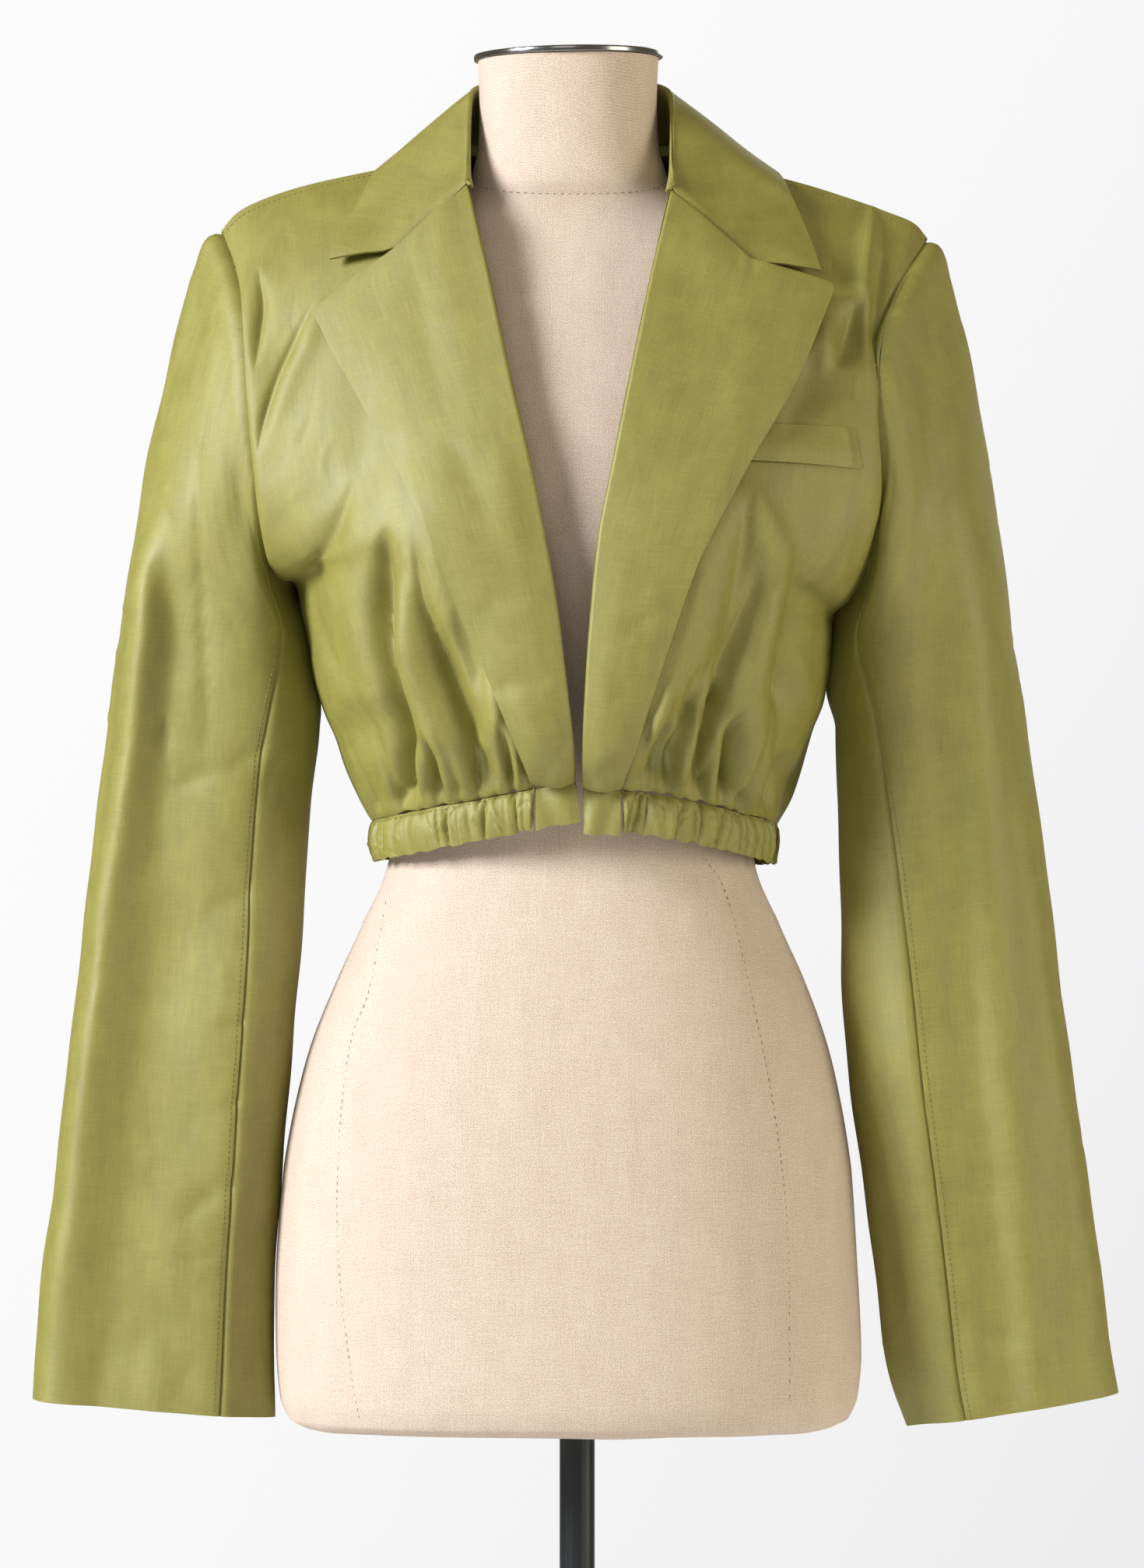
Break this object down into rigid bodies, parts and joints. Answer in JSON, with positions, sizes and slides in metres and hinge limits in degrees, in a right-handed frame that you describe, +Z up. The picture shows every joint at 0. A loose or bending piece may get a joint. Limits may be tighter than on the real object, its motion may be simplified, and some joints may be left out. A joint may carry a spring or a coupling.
{
  "type": "cropped blazer on a dress form",
  "caption": "Cropped blazer with an open notched front, long straight sleeves and a gathered waistband, on a limbless dress form with a pole and a round base.",
  "frame": {"origin": "on the floor, under the middle of the round base", "axes": "+Z up along the pole; the blazer's front faces -Y; +X is towards the wearer's left, which is the right of the picture"},
  "size_m": [0.6141, 0.38, 1.5479],
  "materials": {
    "olive_cotton": "coated plain-weave cotton with a soft satin sheen",
    "linen": "matte coarse plain weave",
    "polished_metal": "polished",
    "dark_metal": "satin"
  },
  "bodies": {
    "root": {"back": "olive_cotton", "front_left": "olive_cotton", "front_right": "olive_cotton", "lapel_left": "olive_cotton", "lapel_right": "olive_cotton", "collar": "olive_cotton", "pocket_welt": "olive_cotton", "sleeve_upper_left": "olive_cotton", "sleeve_upper_right": "olive_cotton", "sleeve_under_left": "olive_cotton", "sleeve_under_right": "olive_cotton", "waistband_back": "olive_cotton", "waistband_left": "olive_cotton", "waistband_right": "olive_cotton", "band_tab_left": "olive_cotton", "band_tab_right": "olive_cotton", "form_torso": "linen", "neck_cap": "polished_metal", "stand_pole": "dark_metal", "stand_base": "dark_metal"}
  },
  "joints": []
}
